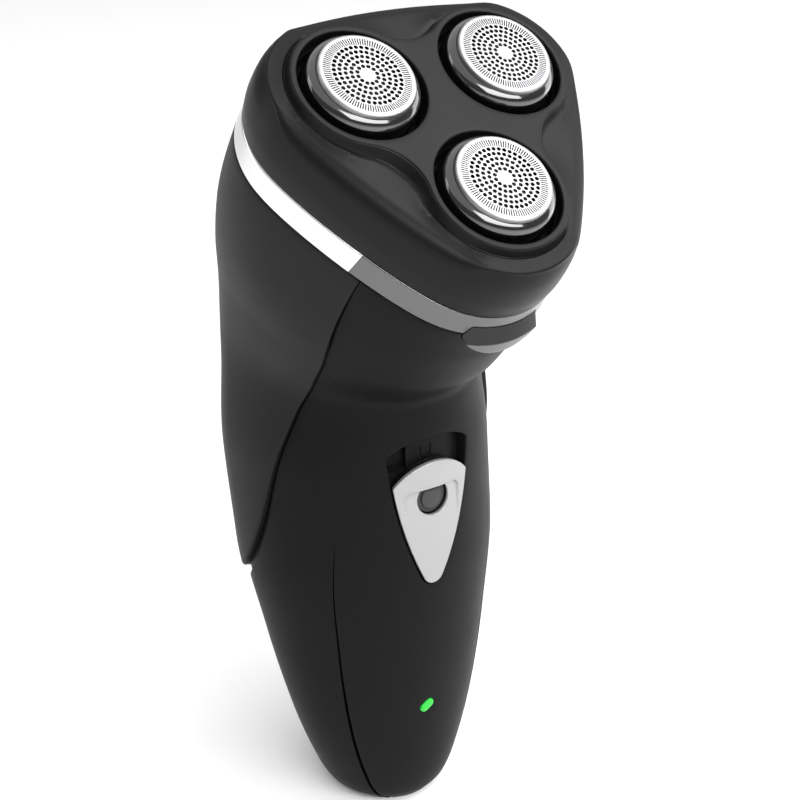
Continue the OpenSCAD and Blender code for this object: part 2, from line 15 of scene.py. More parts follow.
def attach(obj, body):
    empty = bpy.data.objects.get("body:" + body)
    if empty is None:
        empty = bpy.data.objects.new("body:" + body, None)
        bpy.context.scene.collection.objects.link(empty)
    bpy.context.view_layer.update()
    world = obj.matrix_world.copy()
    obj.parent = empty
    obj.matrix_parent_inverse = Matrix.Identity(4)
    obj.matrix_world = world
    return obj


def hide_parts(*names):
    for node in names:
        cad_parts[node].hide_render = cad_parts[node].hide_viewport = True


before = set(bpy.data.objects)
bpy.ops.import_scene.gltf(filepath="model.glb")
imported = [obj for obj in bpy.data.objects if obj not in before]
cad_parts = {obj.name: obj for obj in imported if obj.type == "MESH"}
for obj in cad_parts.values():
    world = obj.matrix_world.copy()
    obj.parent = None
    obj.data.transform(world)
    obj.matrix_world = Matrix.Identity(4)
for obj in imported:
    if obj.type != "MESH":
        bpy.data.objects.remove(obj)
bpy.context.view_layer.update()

# ---------------------------------------------------------------- the case surface, as in the CAD source
STATIONS = np.array([
    [-9.6, 0, 11.8, 0, 10.2, 0.5, 0],
    [-11.3, 2.5, 13.8, 2.5, 13.2, 0.5, 0],
    [-12.6, 9, 16.4, 9, 16.3, 0.5, 0],
    [-13.8, 22, 19, 22, 20.4, 0.52, 0],
    [-15, 40, 23, 40, 24, 0.56, 0],
    [-15.6, 60, 28.2, 60, 26.6, 0.58, 0],
    [-15.2, 78, 31.3, 80, 26.6, 0.62, 0],
    [-14.4, 93, 32.5, 100, 25, 0.64, 0],
    [-22.6, 100.5, 31.6, 118, 26, 0.6, 0.1],
    [-30.6, 109, 24, 136, 28.2, 0.56, 0.6],
    [-36.1, 115.9, 11.3, 152.4, 31.1, 0.555, 1]])
TOP = len(STATIONS) - 1
PARTING = np.array([[-8.3, -2], [-8.6, 60], [-8.7, 80], [-8.9, 94], [-10.2, 104], [-14.7, 111.4], [-18.5, 117.5],
                    [-26, 128]])
GRIP_EDGE = np.array([[60, 50.5], [20, 50.5], [13, 53.5], [8.4, 59], [5, 67], [2.6, 77], [0.4, 86], [-2, 94],
                      [-6, 99.8], [-9.8, 104.4], [-14.3, 111.6], [-18.1, 117.7], [-26, 129]])
HEADS = {"front": -90.0, "left": 150.0, "right": 30.0}
HEAD_ANGLES = np.radians(list(HEADS.values()))
TILT = math.radians(37.6)
HEAD_Y, HEAD_Z, PITCH = -22.0, 152.0, 16.16
BAND_RC, BAND_RT = 17.8, 15.4
WALL = 2.0
# Millimetres per degree and per station, so that triangles on the case come out even
STRETCH = np.array([0.42, 13.0])


def smooth_curve(x, xs, ys):
    """Values at x of the smooth curve through ys at xs, which never overshoots."""
    xs, ys = np.asarray(xs, float), np.asarray(ys, float)
    flat = ys.ndim == 1
    ys = ys[:, None] if flat else ys
    gap = np.diff(xs)
    rise = np.diff(ys, axis=0) / gap[:, None]
    slope = np.zeros_like(ys)
    slope[0], slope[-1] = rise[0], rise[-1]
    for i in range(1, len(xs) - 1):
        a, b = 2 * gap[i] + gap[i - 1], gap[i] + 2 * gap[i - 1]
        both = rise[i - 1] * rise[i] > 0
        slope[i][both] = (a + b) / (a / rise[i - 1][both] + b / rise[i][both])
    x = np.atleast_1d(np.asarray(x, float))
    i = np.clip(np.searchsorted(xs, x, side="right") - 1, 0, len(xs) - 2)
    g = gap[i][:, None]
    f = ((x - xs[i]) / gap[i])[:, None]
    out = ((2 * f**3 - 3 * f**2 + 1) * ys[i] + (f**3 - 2 * f**2 + f) * g * slope[i]
           + (3 * f**2 - 2 * f**3) * ys[i + 1] + (f**3 - f**2) * g * slope[i + 1])
    return out[:, 0] if flat else out


def step(x):
    """0 below 0, 1 above 1, and smooth between."""
    x = np.clip(x, 0, 1)
    return x * x * (3 - 2 * x)


MIDS = (STATIONS[:, 0:2] + STATIONS[:, 2:4]) / 2
ALONG = np.concatenate([[0], np.cumsum(np.linalg.norm(np.diff(MIDS, axis=0), axis=1))])


def lobe(a):
    """How far the three lobes reach in direction a, and how fast that changes."""
    off = np.asarray(a)[..., None] - HEAD_ANGLES
    c = np.maximum(0, np.cos(off))
    total = (c**5).sum(-1)
    return total**0.2, total**-0.8 * (-(c**4) * np.sin(off)).sum(-1)


def case(a, t, inset=0.0):
    """Points of the case at ring angle a in degrees and station t, moved inwards by inset."""
    a, t = np.broadcast_arrays(np.radians(np.asarray(a, float)), np.asarray(t, float))
    s = smooth_curve(np.interp(t, [-5, *range(TOP + 1), TOP + 1], [ALONG[0] - 5 * (ALONG[1] - ALONG[0]), *ALONG,
                                                                  2 * ALONG[-1] - ALONG[-2]]), ALONG, STATIONS)
    front, back = s[:, 0:2], s[:, 2:4]
    d = np.linalg.norm(back - front, axis=1)
    u = (back - front) / d[:, None]
    c = front + u * (s[:, 5] * d)[:, None]
    b = np.where(np.sin(a) < 0, s[:, 5], 1 - s[:, 5]) * d
    oval = np.hypot(s[:, 4] * np.cos(a), b * np.sin(a))
    reach, rate = lobe(a)
    share = s[:, 6]
    h = (1 - share) * oval + share * (BAND_RC + BAND_RT * reach) - inset
    dh = (1 - share) * (b * b - s[:, 4] ** 2) * np.sin(a) * np.cos(a) / oval + share * BAND_RT * rate
    x, y = h * np.cos(a) - dh * np.sin(a), h * np.sin(a) + dh * np.cos(a)
    return np.stack([x, c[:, 0] + u[:, 0] * y, c[:, 1] + u[:, 1] * y], 1)


def outline(a, rc, rt, inset=0.0):
    """Head outline points [x, y] at angle a in radians."""
    reach, rate = lobe(a)
    h, dh = rc + rt * reach - inset, rt * rate
    return np.stack([h * np.cos(a) - dh * np.sin(a), h * np.sin(a) + dh * np.cos(a)], -1)


def from_head(p):
    """Head frame to row frame."""
    p = np.asarray(p, float)
    c, s = math.cos(TILT), math.sin(TILT)
    return np.stack([p[..., 0], HEAD_Y + c * p[..., 1] - s * p[..., 2], HEAD_Z + s * p[..., 1] + c * p[..., 2]], -1)


def to_head(p):
    """Row frame to head frame."""
    y, z = p[:, 1] - HEAD_Y, p[:, 2] - HEAD_Z
    c, s = math.cos(TILT), math.sin(TILT)
    return np.stack([p[:, 0], c * y + s * z, -s * y + c * z], 1)


def locate(goal, measure, a, t):
    """Ring angle and station where measure() of the case surface meets each goal."""
    goal = np.asarray(goal, float)
    a, t = np.full(len(goal), float(a)), np.full(len(goal), float(t))
    for _ in range(25):
        here = measure(case(a, t))
        off = here - goal
        da = (measure(case(a + 0.01, t)) - here) / 0.01
        dt = (measure(case(a, t + 0.001)) - here) / 0.001
        det = da[:, 0] * dt[:, 1] - da[:, 1] * dt[:, 0]
        a = a - np.clip((off[:, 0] * dt[:, 1] - off[:, 1] * dt[:, 0]) / det, -12, 12)
        t = t - np.clip((da[:, 0] * off[:, 1] - da[:, 1] * off[:, 0]) / det, -0.6, 0.6)
    return np.stack([a, t], 1)


def seen_from_front(p):
    return p[:, [0, 2]]


def seen_from_head(p):
    return to_head(p)[:, [0, 2]]


# ---------------------------------------------------------------- flat triangulations
def inside(points, loops):
    """Which points are inside the loops, by counting crossings."""
    hit = np.zeros(len(points), bool)
    for loop in loops:
        x1, y1 = loop.T
        x2, y2 = np.roll(loop, -1, 0).T
        for part in np.array_split(np.arange(len(points)), len(points) // 3000 + 1):
            y = points[part, 1][:, None]
            cross = (y1 > y) != (y2 > y)
            at = x1 + (y - y1) * (x2 - x1) / np.where(y2 == y1, 1, y2 - y1)
            hit[part] ^= (cross & (points[part, 0][:, None] < at)).sum(1) % 2 == 1
    return hit


def distance(points, lines):
    """Distance from each point to the nearest of the open lines."""
    a = np.concatenate([line[:-1] for line in lines])
    ab = np.concatenate([line[1:] for line in lines]) - a
    size = np.maximum((ab * ab).sum(1), 1e-12)
    out = np.empty(len(points))
    for part in np.array_split(np.arange(len(points)), len(points) // 1500 + 1):
        ap = points[part][:, None] - a
        f = np.clip((ap * ab).sum(2) / size, 0, 1)
        out[part] = np.linalg.norm(ap - f[..., None] * ab, axis=2).min(1)
    return out


def closed(loop):
    return np.concatenate([loop, loop[:1]])


def shifted(loop, d, ends=False):
    """The line moved to its left by d, with square corners. ends is true for an open line."""
    d = np.broadcast_to(d, len(loop))[:, None]
    ahead, behind = np.roll(loop, -1, 0) - loop, loop - np.roll(loop, 1, 0)
    if ends:
        ahead[-1], behind[0] = behind[-1], ahead[0]
    ahead /= np.linalg.norm(ahead, axis=1)[:, None]
    behind /= np.linalg.norm(behind, axis=1)[:, None]
    n = np.stack([-(ahead + behind)[:, 1], (ahead + behind)[:, 0]], 1)
    n /= np.linalg.norm(n, axis=1)[:, None]
    cos = np.maximum(0.55, (n * np.stack([-ahead[:, 1], ahead[:, 0]], 1)).sum(1))[:, None]
    return loop + n * d / cos


def counter_clockwise(loop, yes=True):
    x, y = loop.T
    area = (x * np.roll(y, -1) - np.roll(x, -1) * y).sum()
    return loop if (area > 0) == yes else loop[::-1]


def even(line, gap, close=False):
    """The line with points gap apart, or a little less, keeping its ends."""
    line = closed(line) if close else line
    s = np.concatenate([[0], np.cumsum(np.linalg.norm(np.diff(line, axis=0), axis=1))])
    n = max(2, math.ceil(s[-1] / gap))
    at = np.linspace(0, s[-1], n + 1)
    out = np.stack([np.interp(at, s, line[:, k]) for k in range(line.shape[1])], 1)
    return out[:-1] if close else out


def rounded(corners, gap=0.4):
    """A closed outline from corners [x, y, radius], with points at most gap apart on the arcs."""
    pts = []
    for i, (x, y, r) in enumerate(corners):
        p = np.array([x, y], float)
        before = np.array(corners[i - 1][:2], float) - p
        after = np.array(corners[(i + 1) % len(corners)][:2], float) - p
        before, after = before / np.linalg.norm(before), after / np.linalg.norm(after)
        if r == 0:
            pts.append(p)
            continue
        half = math.acos(np.clip(before @ after, -1, 1)) / 2
        centre = p + (before + after) / np.linalg.norm(before + after) * r / math.sin(half)
        start, end = p + before * r / math.tan(half) - centre, p + after * r / math.tan(half) - centre
        turn = math.atan2(start[0] * end[1] - start[1] * end[0], start @ end)
        a0 = math.atan2(start[1], start[0])
        for f in np.linspace(0, 1, max(3, math.ceil(abs(turn) * r / gap) + 1)):
            pts.append(centre + r * np.array([math.cos(a0 + f * turn), math.sin(a0 + f * turn)]))
    return np.array(pts)


def triangulate(loops, spacing, rings=(0,), lines=(), unit=(1.0, 1.0)):
    """Triangles inside the first loop and outside the others. Each loop is followed at each distance in rings,
    and lines are followed too. unit scales the plane to millimetres."""
    unit = np.array(unit)
    loops = [counter_clockwise(loop * unit, i == 0) for i, loop in enumerate(loops)]
    pts, edges, near = [], [], []
    for loop in loops:
        for d in rings:
            ring = shifted(loop, d)
            base = sum(map(len, pts))
            edges += [(base + k, base + (k + 1) % len(ring)) for k in range(len(ring))]
            pts.append(ring)
            near.append(closed(ring))
    for line in lines:
        line = line * unit
        base = sum(map(len, pts))
        edges += [(base + k, base + k + 1) for k in range(len(line) - 1)]
        pts.append(line)
        near.append(line)
    lo, hi = loops[0].min(0), loops[0].max(0)
    rows = np.arange(lo[1], hi[1], spacing * 0.87)
    across = [np.arange(lo[0] + (k % 2) * spacing / 2, hi[0], spacing) for k in range(len(rows))]
    grid = np.concatenate([np.stack([xs, np.full(len(xs), y)], 1) for xs, y in zip(across, rows)])
    grid = grid[inside(grid, loops)]
    grid = grid[distance(grid, near) > spacing * 0.6]
    every = np.concatenate([*pts, grid])
    v, _, f, *_ = delaunay_2d_cdt([Vector(p) for p in every], edges, [], 0, 1e-5, False)
    v, f = np.array([tuple(p) for p in v]), np.array([tuple(t) for t in f if len(t) == 3])
    f = f[inside(v[f].mean(1), loops)]
    used, f = np.unique(f, return_inverse=True)
    return v[used], f.reshape(-1, 3), loops


def thick(f, outer, inner):
    """A closed solid from one triangulation and its outer and inner points."""
    n = len(outer)
    there = {tuple(e) for e in np.concatenate([f[:, [0, 1]], f[:, [1, 2]], f[:, [2, 0]]]).tolist()}
    rim = [(i, j) for i, j in there if (j, i) not in there]
    faces = f.tolist() + (f[:, ::-1] + n).tolist() + [[j, i, i + n, j + n] for i, j in sorted(rim)]
    return np.concatenate([outer, inner]), faces


def edge_round(d, r):
    """Drop of a surface at distance d from an edge rounded with radius r."""
    d = np.clip(d, 0, r)
    return r - np.sqrt(np.maximum(0, r * r - (r - d) ** 2))


ROUND = np.array([0, 0.06, 0.16, 0.32, 0.6, 1.0])
# Width of the seam between the case halves, and the radius of its edges, by height
SEAM_GAP = [0, 20, 48, 62, 67], [0.42, 0.34, 0.18, 0.09, 0.0]
SEAM_R = [0, 30, 50, 62, 67], [0.28, 0.24, 0.12, 0.05, 0.0]
# Radius of the grip's edge, and width of the groove round the grip, by height
GRIP_R = [50, 75, 95, 110], [0.45, 0.4, 0.2, 0.0]
RECESS_GAP = [52, 60, 70, 80, 92, 104], [1.25, 1.15, 0.65, 0.25, 0.06, 0.0]


def on_case(loops, spacing, outer, inner, r=0.3, edges=None, seams=(), lines=(), space="case"):
    """A closed solid lying on the case. outer and inner give the inset at points of the plane, which is [angle,
    station] for "case" and [x, z] for "front". edges are the lines whose edge is rounded by r; all loops if None.
    seams are pairs of a line and its rounding by height."""
    unit = STRETCH if space == "case" else np.ones(2)
    v, f, flat = triangulate(loops, spacing, ROUND * r, lines, unit)
    rim = [closed(loop) for loop in flat] if edges is None else [e * unit for e in edges]
    drop = edge_round(distance(v, rim), r)
    p = v / unit
    at = p if space == "case" else locate(p, seen_from_front, 270, 6 if p[:, 1].mean() > 50 else 3.2)
    if edges is not None:
        top = case(at[:, 0], at[:, 1], 0)
        for line, radius in seams:
            drop = np.maximum(drop, edge_round(distance(v, [line * unit]), np.interp(top[:, 2], *radius)))
        _, first, same = np.unique(np.round(top, 4), axis=0, return_index=True, return_inverse=True)
        f = first[same.ravel()][f]
        used, f = np.unique(f, return_inverse=True)
        f, at, p, drop = f.reshape(-1, 3), at[used], p[used], drop[used]
        f = f[(f[:, 0] != f[:, 1]) & (f[:, 1] != f[:, 2]) & (f[:, 2] != f[:, 0])]
    return thick(f, case(at[:, 0], at[:, 1], outer(p) + drop), case(at[:, 0], at[:, 1], inner(p)))


def grid_faces(rows, cols, wrap=True):
    """Quads of a grid of points listed row by row."""
    last = cols if wrap else cols - 1
    return [[j * cols + k, j * cols + (k + 1) % cols, (j + 1) * cols + (k + 1) % cols, (j + 1) * cols + k]
            for j in range(rows - 1) for k in range(last)]


def capped(rows, cols):
    """Faces of a closed solid made of rings of points, listed from the bottom up."""
    return [list(range(cols))[::-1], *grid_faces(rows, cols), [(rows - 1) * cols + k for k in range(cols)]]


def circle(r, count, turn=0.0):
    """Evenly spaced points on a circle round the origin, from the angle turn on."""
    return np.array([[r * math.cos(a + turn), r * math.sin(a + turn)]
                     for a in np.linspace(0, 2 * math.pi, count, endpoint=False)])


def pill(half, r, count):
    """A slot outline with round ends, centred at the origin. half is the distance to each end's centre."""
    return np.array([[s * half + r * math.cos(a), r * math.sin(a)]
                     for s, a0 in ((1, -90), (-1, 90)) for a in np.radians(np.linspace(a0, a0 + 180, count))])


def lathe(profile, steps=144):
    """A closed ring from a closed profile of [radius, height], listed anticlockwise."""
    a = np.linspace(0, 2 * math.pi, steps, endpoint=False)
    r, z = np.array(profile, float).T
    v = np.stack([np.outer(r, np.cos(a)), np.outer(r, np.sin(a)), np.repeat(z[:, None], steps, 1)], 2).reshape(-1, 3)
    n = len(profile)
    faces = [[j * steps + k, j * steps + (k + 1) % steps, (j + 1) % n * steps + (k + 1) % steps,
              (j + 1) % n * steps + k] for j in range(n) for k in range(steps)]
    return v, faces


def post(profile, steps=48):
    """A closed solid of revolution from an open profile of [radius, height], from the bottom up."""
    a = np.linspace(0, 2 * math.pi, steps, endpoint=False)
    r, z = np.array(profile, float).T
    v = np.stack([np.outer(r, np.cos(a)), np.outer(r, np.sin(a)), np.repeat(z[:, None], steps, 1)], 2).reshape(-1, 3)
    return v, capped(len(profile), steps)


def moved(part, move):
    return move(part[0]), part[1]


def spin(v, degrees):
    """Points turned round the third axis."""
    a = math.radians(degrees)
    return np.stack([v[:, 0] * math.cos(a) - v[:, 1] * math.sin(a), v[:, 0] * math.sin(a) + v[:, 1] * math.cos(a),
                     v[:, 2]], 1)


def at_head(part, degrees):
    """Moves a part from a shaving head's own frame to the row frame."""
    return from_head(spin(part[0] + [PITCH, 0, 0], degrees)), part[1]


# ---------------------------------------------------------------- materials
def material(name, colour, rough, metal=0.0, gloss=0.5, grain=3000.0, bump=0.02, vary=0.05, coat=0.0, tint=0.12,
             stretch=(1, 1, 1)):
    """Moulded plastic or metal: a fine grain in the relief, and colour and roughness that vary slowly."""
    mat = bpy.data.materials.new(name)
    mat.use_nodes = True
    nodes, links = mat.node_tree.nodes, mat.node_tree.links
    shader = nodes["Principled BSDF"]
    shader.inputs["Metallic"].default_value = metal
    shader.inputs["Specular IOR Level"].default_value = gloss
    shader.inputs["Coat Weight"].default_value = coat
    shader.inputs["Coat Roughness"].default_value = 0.06
    place = nodes.new("ShaderNodeTexCoord")
    scale = nodes.new("ShaderNodeMapping")
    scale.inputs["Scale"].default_value = stretch
    links.new(place.outputs["Object"], scale.inputs["Vector"])
    broad, fine = nodes.new("ShaderNodeTexNoise"), nodes.new("ShaderNodeTexNoise")
    broad.inputs["Scale"].default_value, broad.inputs["Detail"].default_value = 90.0, 4.0
    fine.inputs["Scale"].default_value, fine.inputs["Detail"].default_value = grain, 2.0
    links.new(place.outputs["Object"], broad.inputs["Vector"])
    links.new(scale.outputs["Vector"], fine.inputs["Vector"])
    shade = nodes.new("ShaderNodeMix")
    shade.data_type = "RGBA"
    shade.inputs["A"].default_value = (*[c * (1 - tint) for c in colour], 1)
    shade.inputs["B"].default_value = (*[min(1, c * (1 + tint)) for c in colour], 1)
    links.new(broad.outputs["Fac"], shade.inputs["Factor"])
    links.new(shade.outputs["Result"], shader.inputs["Base Color"])
    spread = nodes.new("ShaderNodeMapRange")
    spread.inputs["To Min"].default_value, spread.inputs["To Max"].default_value = rough - vary, rough + vary
    links.new(broad.outputs["Fac"], spread.inputs["Value"])
    links.new(spread.outputs["Result"], shader.inputs["Roughness"])
    relief = nodes.new("ShaderNodeBump")
    relief.inputs["Strength"].default_value = 0.5
    relief.inputs["Distance"].default_value = bump / 1000
    links.new(fine.outputs["Fac"], relief.inputs["Height"])
    links.new(relief.outputs["Normal"], shader.inputs["Normal"])
    return mat


MATERIALS = {
    "case_black": material("case_black", (0.004, 0.004, 0.0041), 0.46, gloss=0.1, grain=2600, bump=0.012),
    "grip_black": material("grip_black", (0.008, 0.008, 0.0083), 0.5, gloss=0.17, grain=2200, bump=0.018),
    "head_grey": material("head_grey", (0.006, 0.006, 0.0062), 0.38, gloss=0.14, grain=2600, bump=0.012),
    "trim_silver": material("trim_silver", (0.8, 0.8, 0.81), 0.2, metal=1.0, bump=0.002, tint=0.03),
    "trim_grey": material("trim_grey", (0.15, 0.15, 0.154), 0.26, metal=1.0, bump=0.003, tint=0.03),
    "slider_silver": material("slider_silver", (0.36, 0.36, 0.365), 0.34, metal=0.5, bump=0.004, tint=0.03),
    "button_grey": material("button_grey", (0.035, 0.035, 0.036), 0.2, metal=1.0, bump=0.002, tint=0.03),
    "ring_black": material("ring_black", (0.004, 0.004, 0.004), 0.1, gloss=0.9, bump=0.001, tint=0.0, coat=1.0),
    "guard_steel": material("guard_steel", (0.37, 0.37, 0.375), 0.42, metal=1.0, grain=6000, bump=0.003, tint=0.03),
    # Painted shade: the steel cutters are coloured near black and not metal, so the slots in the guards above them read
    # as shade.
    "blade_steel": material("blade_steel", (0.012, 0.012, 0.012), 0.5, gloss=0.2, bump=0.004, tint=0.05),
    "steel": material("steel", (0.5, 0.5, 0.51), 0.3, metal=1.0, grain=5000, bump=0.003, tint=0.05),
    "nylon": material("nylon", (0.6, 0.59, 0.55), 0.45, bump=0.01, tint=0.05),
    "inner_grey": material("inner_grey", (0.04, 0.04, 0.042), 0.5, gloss=0.3, bump=0.012),
    "brass": material("brass", (0.6, 0.42, 0.17), 0.3, metal=1.0, grain=5000, bump=0.004, tint=0.08),
    "board_green": material("board_green", (0.02, 0.11, 0.045), 0.4, grain=1200, bump=0.02, tint=0.25),
    "cell_green": material("cell_green", (0.03, 0.2, 0.08), 0.35, gloss=0.6, bump=0.004, tint=0.1),
    "led_green": material("led_green", (0.01, 0.42, 0.03), 0.3, bump=0.002, tint=0.1),
}
glow = MATERIALS["led_green"].node_tree.nodes["Principled BSDF"]
glow.inputs["Emission Color"].default_value = (0.0, 1.0, 0.05, 1)
glow.inputs["Emission Strength"].default_value = 0.1


def piece(name, parts, slot, body, *nodes, sharp=34):
    """One Blender object from closed parts given in millimetres in the row frame. It rides on body and stands for
    the CAD nodes. Edges sharper than sharp degrees stay sharp."""
    verts, faces, base = [], [], 0
    for v, f in parts:
        verts.append(v)
        faces += [[i + base for i in face] for face in f]
        base += len(v)
    mesh = bpy.data.meshes.new(name)
    mesh.from_pydata((np.concatenate(verts) / 1000).tolist(), [], faces)
    mesh.polygons.foreach_set("use_smooth", [True] * len(mesh.polygons))
    mesh.set_sharp_from_angle(angle=math.radians(sharp))
    mesh.materials.append(MATERIALS[slot])
    mesh.update()
    obj = bpy.data.objects.new(name, mesh)
    bpy.context.scene.collection.objects.link(obj)
    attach(obj, body)
    if nodes:
        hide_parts(*nodes)
    return obj


# ---------------------------------------------------------------- seams on the case
def bisect(test, lo, hi, rounds=45):
    """Where test() turns from true at lo to false at hi."""
    lo, hi = np.array(lo, float), np.array(hi, float)
    for _ in range(rounds):
        mid = (lo + hi) / 2
        yes = test(mid)
        lo, hi = np.where(yes, mid, lo), np.where(yes, hi, mid)
    return (lo + hi) / 2


parting_zs = np.linspace(-2, 128, 131)
parting_line = np.stack([smooth_curve(parting_zs, PARTING[:, 1], PARTING[:, 0]), parting_zs], 1)
# Level of the case's top edge under the trim band, in the head frame
TOP_N = -21.1


def top_t(a):
    """Station of the case's top edge at ring angle a in degrees."""
    a = np.atleast_1d(np.asarray(a, float))
    return bisect(lambda t: to_head(case(a, t))[:, 2] < TOP_N, np.full(len(a), 8.0), np.full(len(a), float(TOP)))


def ended(line):
    """The line [angle, station] up to the case's top edge."""
    n = to_head(case(line[:, 0], line[:, 1]))[:, 2]
    k = int(np.argmax(n > TOP_N))
    f = (TOP_N - n[k - 1]) / (n[k] - n[k - 1])
    end = line[k - 1] + f * (line[k] - line[k - 1])
    return np.concatenate([line[:k] if f > 0.1 else line[:k - 1], [[end[0], top_t(end[0])[0]]]])


def along_top(a0, a1, count):
    """The case's top edge between two ring angles, without its ends."""
    a = np.linspace(a0, a1, count)[1:-1]
    return np.stack([a, top_t(a)], 1)


def parting(side):
    """The left seam of the case halves from the foot up, as [angle, station]. side is -1 in front, 1 behind."""
    def behind(p):
        z = p[:, 2]
        return p[:, 1] > np.interp(z, parting_zs, parting_line[:, 0]) + side * np.interp(z, *SEAM_GAP) / 2
    t = np.linspace(0, TOP, 134)
    return ended(np.stack([bisect(lambda x: behind(case(x, t)), np.full(len(t), 90.0), np.full(len(t), 270.0)), t], 1))


def mirrored(line, around):
    """The same line on the other side of the case."""
    return np.stack([2 * around - line[:, 0], line[:, 1]], 1)[::-1]


seam = parting(-1)
rear_seam = parting(1)

# The grip's edge on the left, from the middle of the back to the trim band
edge_yz = even(np.concatenate([smooth_curve(np.linspace(0, len(GRIP_EDGE) - 1, 260), np.arange(len(GRIP_EDGE)),
                                            GRIP_EDGE)]), 0.5)
grip_side = np.concatenate([edge_yz, [[-26, 180], [60, 180]]])


def in_grip(p):
    return inside(p[:, 1:3], [grip_side])


t_up = np.linspace(4.68, TOP, 90)
a_up = bisect(lambda x: in_grip(case(x, t_up)), np.full(90, 90.0), np.full(90, 270.0))
a_low = np.linspace(90, a_up[0], 34)[:-1]
t_low = bisect(lambda x: ~in_grip(case(a_low, x)), np.full(33, 4.0), np.full(33, 4.9))
grip_edge = np.concatenate([np.stack([a_low, t_low], 1), np.stack([a_up, t_up], 1)])
grip_edge = even(ended(grip_edge) * STRETCH, 0.7) / STRETCH
edge_z = case(grip_edge[:, 0], grip_edge[:, 1])[:, 2]
recess_edge = shifted(grip_edge * STRETCH, -np.interp(edge_z, *RECESS_GAP), True) / STRETCH
recess_edge[-1, 1] = top_t(recess_edge[-1, 0])[0]

# ---------------------------------------------------------------- power switch outlines, seen from the front
TIP_R, TIP_Z, CORNER, ARCH_R = 2.2, 57.7, np.array([8.2, 77.6]), 10.25
ARCH_Z = 81.7 - ARCH_R


def slider_half(grow=0.0):
    """The slider's right half from the tip to the arch's corner: a round tip and a curved flank."""
    corner = CORNER + [grow, 0]
    lean = corner - [0, TIP_Z]
    turn = math.atan2(lean[1], lean[0]) - math.acos((TIP_R + grow) / np.linalg.norm(lean)) - 0.16
    tip = [[(TIP_R + grow) * math.cos(a), TIP_Z + (TIP_R + grow) * math.sin(a)]
           for a in np.linspace(-math.pi / 2, turn, 12)]
    start = np.array(tip[-1])
    bend = start + np.array([-math.sin(turn), math.cos(turn)]) * np.linalg.norm(corner - start) * 0.5
    flank = [(1 - f) ** 2 * start + 2 * f * (1 - f) * bend + f * f * corner for f in np.linspace(0, 1, 16)[1:]]
    return np.array([*tip, *flank])


def slider_shape(grow=0.0):
    half = slider_half(grow)
    start = math.atan2(half[-1, 1] + grow - ARCH_Z, half[-1, 0])
    arch = [[(ARCH_R + grow) * math.cos(a), ARCH_Z + (ARCH_R + grow) * math.sin(a)]
            for a in np.linspace(start, math.pi - start, 25)]
    return np.array([*half, *arch, *(half[1:] * [-1, 1])[::-1]])


slot_half = slider_half(0.3)
SLOT = np.array([*slot_half, *rounded([[*slot_half[-1], 0], [9.2, 83.6, 0.5], [8.2, 84.6, 0]])[1:-1],
                 *[[x, 71.2 + math.sqrt(15.6**2 - x * x)] for x in np.linspace(8.2, -8.2, 17)],
                 *rounded([[-8.2, 84.6, 0], [-9.2, 83.6, 0.5], [*(slot_half[-1] * [-1, 1]), 0]])[1:-1],
                 *(slot_half[1:] * [-1, 1])[::-1]])
LOCK_Z, LOCK_R, LOCK_FLAT = 74.0, 3.35, 1.8
LAMP_Z, LAMP_TURN = 25.2, math.radians(35)


def lock_shape(grow):
    r = LOCK_R + grow
    flat = math.asin((LOCK_FLAT + grow) / r)
    return np.array([[r * math.cos(a), LOCK_Z + r * math.sin(a)]
                     for a in np.linspace(math.pi - flat, 2 * math.pi + flat, 48)])


def lamp_shape(grow=0.0):
    c, s = math.cos(LAMP_TURN), math.sin(LAMP_TURN)
    return np.array([[x * c - y * s, LAMP_Z + x * s + y * c] for x, y in pill(0.6, 1.1 + grow, 15)])


# ---------------------------------------------------------------- release button window, seen along the head
BUTTON_W, NOSE_N, BUTTON_TOP = 7.35, -21.7, -18.7


def window_shape(grow):
    x = np.linspace(-BUTTON_W - grow, BUTTON_W + grow, 41)
    low = NOSE_N - 0.2 - 3.0 * (1 - (x / (BUTTON_W + grow)) ** 2) - grow
    return np.stack([x, low], 1)


window = window_shape(0.1)
window = locate(window[window[:, 1] < TOP_N - 0.05], seen_from_head, 270, 9.6)

# ---------------------------------------------------------------- case halves and grip
top = np.concatenate([along_top(seam[-1, 0], window[0, 0], 48), window,
                      along_top(window[-1, 0], 540 - seam[-1, 0], 48)])
front_foot = np.stack([np.linspace(540 - seam[0, 0], seam[0, 0], 30)[1:-1], np.zeros(28)], 1)
front_loop = even(np.concatenate([seam, top, mirrored(seam, 270), front_foot]) * STRETCH, 0.6, True) / STRETCH
slot_loop = locate(even(SLOT, 0.45, True), seen_from_front, 270, 6)
led_loop = locate(lamp_shape(0.08), seen_from_front, 270, 3.2)
front_part = on_case([front_loop, slot_loop, led_loop], 1.0, lambda p: 0.0,
                     lambda p: WALL - 1.3 * step(1 - distance(p * STRETCH, [window * STRETCH]) / 3), r=0.28,
                     edges=[top, front_foot, closed(slot_loop), closed(led_loop)],
                     seams=[(seam, SEAM_R), (mirrored(seam, 270), SEAM_R)])

foot = np.stack([np.linspace(180 - rear_seam[0, 0], rear_seam[0, 0], 150)[1:-1], np.zeros(148)], 1)
rear_top = along_top(rear_seam[-1, 0], 180 - rear_seam[-1, 0], 150)
right_seam = mirrored(rear_seam, 90)
rear_loop = np.concatenate([foot, rear_seam, rear_top, right_seam])
rear_edges = [rear_top, foot]
recess = np.concatenate([mirrored(recess_edge, 90)[:-1], recess_edge])
recess_loop = np.concatenate([recess, [[recess[-1, 0], 11], [recess[0, 0], 11]]]) * STRETCH
lip = [shifted(recess * STRETCH, d, True) / STRETCH for d in (-0.3, -0.18, -0.09, -0.03, 0, 0.05, 0.3)]
for line in lip:
    line[0, 1], line[-1, 1] = top_t(line[[0, -1], 0])


